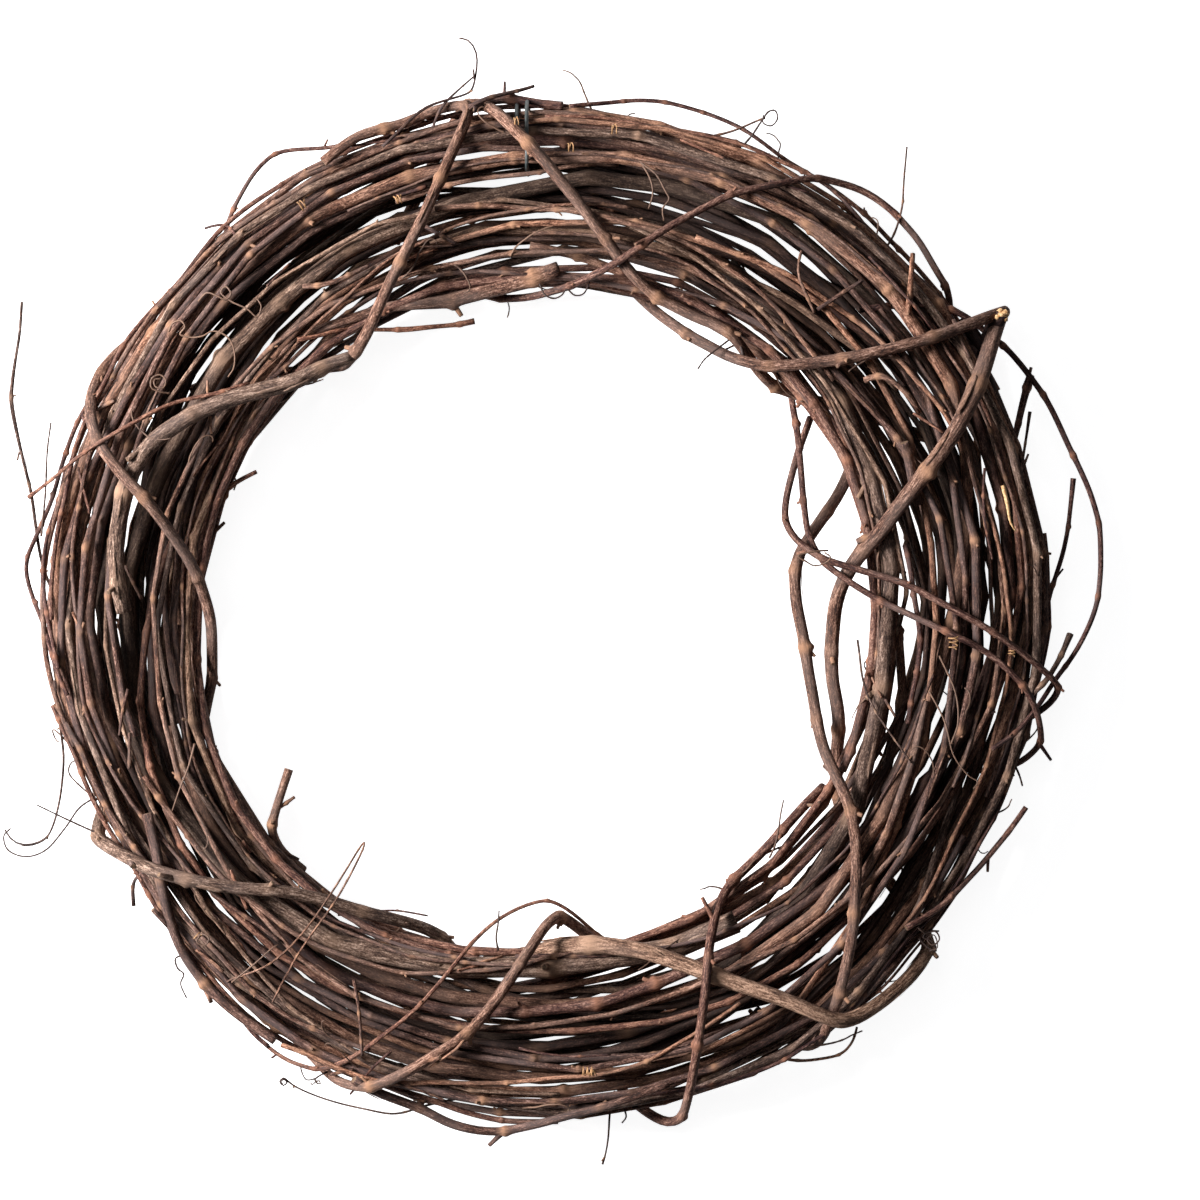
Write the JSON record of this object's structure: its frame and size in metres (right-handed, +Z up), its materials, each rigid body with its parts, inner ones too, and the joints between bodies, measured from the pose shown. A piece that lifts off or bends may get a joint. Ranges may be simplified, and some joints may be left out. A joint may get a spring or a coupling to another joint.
{
  "type": "grapevine wreath",
  "caption": "Flat round wreath of wound grapevine canes bound by slanting thicker vines, with an open middle, loose twigs and tendrils, and a wire tie at the top.",
  "frame": {"origin": "centre of the box round the whole wreath at the height it rests on, with the wreath lying flat", "axes": "+Z up through the ring's hole, towards its front face; +Y towards the top of the wreath as it hangs; +X to the right seen from the front"},
  "size_m": [0.5003, 0.5117, 0.0668],
  "materials": {
    "bark_brown": "matte",
    "bark_red": "matte",
    "bark_grey": "matte",
    "wire_green": "satin"
  },
  "bodies": {
    "root": {"thick_cane_upper_left": "bark_grey", "thick_cane_right": "bark_grey", "thick_cane_bottom": "bark_grey", "cane_01": "bark_brown", "cane_02": "bark_brown", "cane_03": "bark_grey", "cane_04": "bark_red", "cane_05": "bark_brown", "cane_06": "bark_brown", "cane_07": "bark_brown", "cane_08": "bark_red", "cane_09": "bark_brown", "cane_10": "bark_brown", "cane_11": "bark_grey", "cane_12": "bark_grey", "cane_13": "bark_brown", "cane_14": "bark_red", "cane_15": "bark_brown", "cane_16": "bark_grey", "cane_17": "bark_grey", "cane_18": "bark_red", "cane_19": "bark_brown", "cane_20": "bark_brown", "cane_21": "bark_red", "cane_22": "bark_brown", "cane_23": "bark_brown", "cane_24": "bark_brown", "cane_25": "bark_brown", "cane_26": "bark_grey", "wire_tie": "wire_green", "loose_twig_left": "bark_red", "outer_vine_left": "bark_brown", "inner_stub_left": "bark_brown", "inner_twig_top": "bark_red", "outer_vine_bottom": "bark_brown", "outer_twig_top_left": "bark_red", "outer_loop_right": "bark_red", "outer_twig_right": "bark_red", "outer_twig_lower_right": "bark_red", "binding_vine_top": "bark_brown", "inner_vine_top": "bark_brown", "binding_vine_upper_right": "bark_brown", "binding_vine_right": "bark_brown", "binding_vine_upper_left": "bark_brown", "thick_vine_left": "bark_grey", "binding_vine_left": "bark_brown", "inner_loop_right": "bark_red", "inner_loop_right_short": "bark_red", "binding_vine_lower_right": "bark_brown", "forked_vine_bottom": "bark_grey", "binding_vine_bottom_right": "bark_red", "binding_vine_bottom": "bark_brown", "binding_vine_lower_left": "bark_grey", "loose_twig_bottom": "bark_red", "arching_vine_top": "bark_red", "tendril_bottom": "bark_brown", "tendril_left": "bark_grey", "tendril_bottom_left": "bark_grey", "tendril_top": "bark_brown", "far_twig_left": "bark_grey"}
  },
  "joints": []
}
